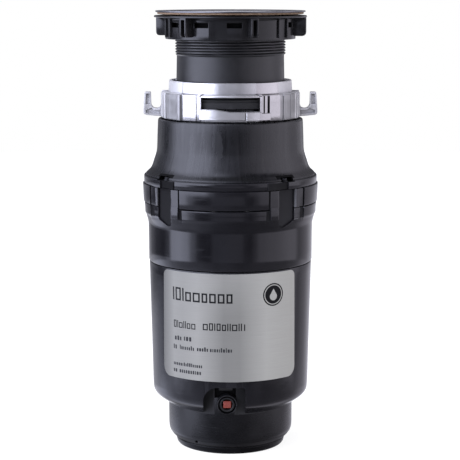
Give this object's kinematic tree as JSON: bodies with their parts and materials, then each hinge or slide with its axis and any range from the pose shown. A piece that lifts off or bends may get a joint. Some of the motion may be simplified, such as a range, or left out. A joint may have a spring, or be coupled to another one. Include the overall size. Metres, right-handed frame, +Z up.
{
  "type": "kitchen food waste disposer",
  "caption": "Under-sink food waste disposer: sink flange and backing nut over a bayonet lock ring, flared black hopper, silver label, red reset button and a swivel-impeller grinder.",
  "frame": {"origin": "centre of the flat underside of the base housing, on the machine's axis", "axes": "+Z up along the machine's axis to the sink flange, -Y to the front with the label and reset button, +X to the right seen from the front; discharge, dishwasher inlet and cable entry face +Y"},
  "size_m": [0.135, 0.1475, 0.3368],
  "materials": {
    "stainless": "brushed",
    "screw_steel": "zinc plated",
    "rivet_steel": "plain",
    "plate_steel": "plated, dull",
    "spring_wire": "plain",
    "lamination_steel": "stamped stack",
    "ring_casting": "bright die casting",
    "cast_aluminium": "as cast",
    "sleeve_plastic": "satin black",
    "nut_plastic": "gloss black",
    "neck_plastic": "mottled satin black",
    "housing_plastic": "gloss black",
    "base_plastic": "satin black",
    "soft_rubber": "matte",
    "gasket_fibre": "pressed fibre",
    "label_foil": "brushed foil",
    "red_button": "red",
    "phenolic": "brown laminate",
    "dark_epoxy": "moulded",
    "bronze": "sintered",
    "brass": "stamped",
    "ferrite": "pressed ferrite",
    "brush_carbon": "pressed carbon",
    "copper_wire": "enamelled copper",
    "green_screw": "green"
  },
  "bodies": {
    "disposer": {"cushion_mount": "soft_rubber", "neck_snap_ring": "spring_wire", "hopper_housing": "neck_plastic", "dishwasher_inlet_plug": "neck_plastic", "grind_ring": "stainless", "chamber_seal": "soft_rubber", "chamber_housing": "housing_plastic", "housing_screw_1": "screw_steel", "housing_screw_2": "screw_steel", "housing_screw_3": "screw_steel", "housing_screw_4": "screw_steel", "motor_shell": "housing_plastic", "nameplate": "label_foil", "base_housing": "base_plastic", "access_cover": "plate_steel", "access_cover_screw": "screw_steel", "base_screw_1": "screw_steel", "base_screw_2": "screw_steel", "base_screw_3": "screw_steel", "base_screw_4": "screw_steel", "ground_screw": "green_screw", "overload_protector": "phenolic", "bridge_rectifier": "dark_epoxy", "lower_end_bell": "cast_aluminium", "lower_bearing": "bronze", "stator_can": "plate_steel", "magnet_north": "ferrite", "magnet_south": "ferrite", "brush_plate": "phenolic", "brush_holder_a": "brass", "brush_holder_b": "brass", "brush_spring_a": "spring_wire", "brush_spring_b": "spring_wire", "upper_end_bell": "cast_aluminium", "upper_bearing": "bronze", "motor_through_bolt_1": "screw_steel", "motor_through_bolt_2": "screw_steel", "shaft_seal": "soft_rubber"},
    "lock_ring": {"mount_ring": "ring_casting"},
    "sink_set": {"sink_flange": "stainless", "threaded_sleeve": "sleeve_plastic", "splash_guard": "soft_rubber"},
    "gasket": {"fibre_gasket": "gasket_fibre"},
    "backing_nut": {"mounting_nut": "nut_plastic"},
    "rotor": {"rotor_shaft": "stainless", "armature_core": "lamination_steel", "armature_windings": "copper_wire", "commutator": "copper_wire", "water_slinger": "base_plastic", "turntable": "stainless", "turntable_nut": "screw_steel", "impeller_rivet_a": "rivet_steel", "impeller_rivet_b": "rivet_steel"},
    "swivel_impeller_a": {"impeller_a": "stainless"},
    "swivel_impeller_b": {"impeller_b": "stainless"},
    "reset": {"reset_button": "red_button"},
    "brush_a": {"carbon_brush_a": "brush_carbon"},
    "brush_b": {"carbon_brush_b": "brush_carbon"}
  },
  "joints": [
    {"name": "ring_turn", "type": "hinge", "parent": "disposer", "child": "lock_ring", "pos_m": [0, 0, 0.27], "axis": [0, 0, 1], "range_deg": [0, 32]},
    {"name": "sink_lift", "type": "slide", "parent": "disposer", "child": "sink_set", "axis": [0, 0, 1], "range_m": [0, 0.0017]},
    {"name": "nut_travel", "type": "slide", "parent": "sink_set", "child": "gasket", "axis": [0, 0, 1], "range_m": [-0.012, 0]},
    {"name": "nut_turn", "type": "hinge", "parent": "gasket", "child": "backing_nut", "pos_m": [0, 0, 0.325], "axis": [0, 0, 1], "range_deg": [-1960, 0]},
    {"name": "rotor_spin", "type": "hinge", "parent": "disposer", "child": "rotor", "pos_m": [0, 0, 0.12], "axis": [0, 0, 1], "continuous": true},
    {"name": "impeller_a_swing", "type": "hinge", "parent": "rotor", "child": "swivel_impeller_a", "pos_m": [0.033, 0, 0.202], "axis": [0, 0, 1], "continuous": true},
    {"name": "impeller_b_swing", "type": "hinge", "parent": "rotor", "child": "swivel_impeller_b", "pos_m": [-0.033, 0, 0.202], "axis": [0, 0, 1], "continuous": true},
    {"name": "reset_press", "type": "slide", "parent": "disposer", "child": "reset", "axis": [0, 1, 0], "range_m": [0, 0.002], "stiffness_N_per_m": 400, "springref_m": -0.002},
    {"name": "brush_a_retract", "type": "slide", "parent": "disposer", "child": "brush_a", "axis": [1, 0, 0], "range_m": [0, 0.003], "stiffness_N_per_m": 200, "springref_m": -0.004, "deforming": ["brush_spring_a"]},
    {"name": "brush_b_retract", "type": "slide", "parent": "disposer", "child": "brush_b", "axis": [-1, 0, 0], "range_m": [0, 0.003], "stiffness_N_per_m": 200, "springref_m": -0.004, "deforming": ["brush_spring_b"]}
  ],
  "couplings": [
    {"joint": "sink_lift", "follows": "ring_turn", "m_per_rad": 0.0028648},
    {"joint": "nut_travel", "follows": "nut_turn", "m_per_rad": 0.00033693}
  ]
}
